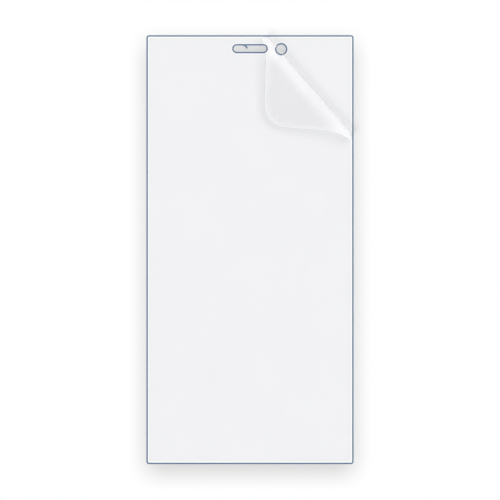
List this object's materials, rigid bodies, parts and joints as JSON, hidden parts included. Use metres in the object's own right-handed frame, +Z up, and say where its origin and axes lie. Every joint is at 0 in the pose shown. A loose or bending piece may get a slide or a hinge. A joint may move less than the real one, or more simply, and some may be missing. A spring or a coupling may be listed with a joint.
{
  "type": "phone screen protector",
  "caption": "Clear rectangular screen protector with a bevelled edge, a speaker slot and a camera hole, under a thin cover film whose top right corner is peeled back in a soft curl.",
  "frame": {"origin": "middle of the protector sheet, on its underside", "axes": "+X across the width to the side with the camera hole, +Y along the length to the phone's top edge, +Z up out of the phone's glass"},
  "size_m": [0.068, 0.1408, 0.0043],
  "materials": {
    "clear_sheet": "clear hard-coated plastic with a polished face and a blue-grey bevelled edge",
    "cover_film": "thin glossy clear film"
  },
  "bodies": {
    "root": {"protector_sheet": "clear_sheet", "peel_film": "cover_film"}
  },
  "joints": []
}
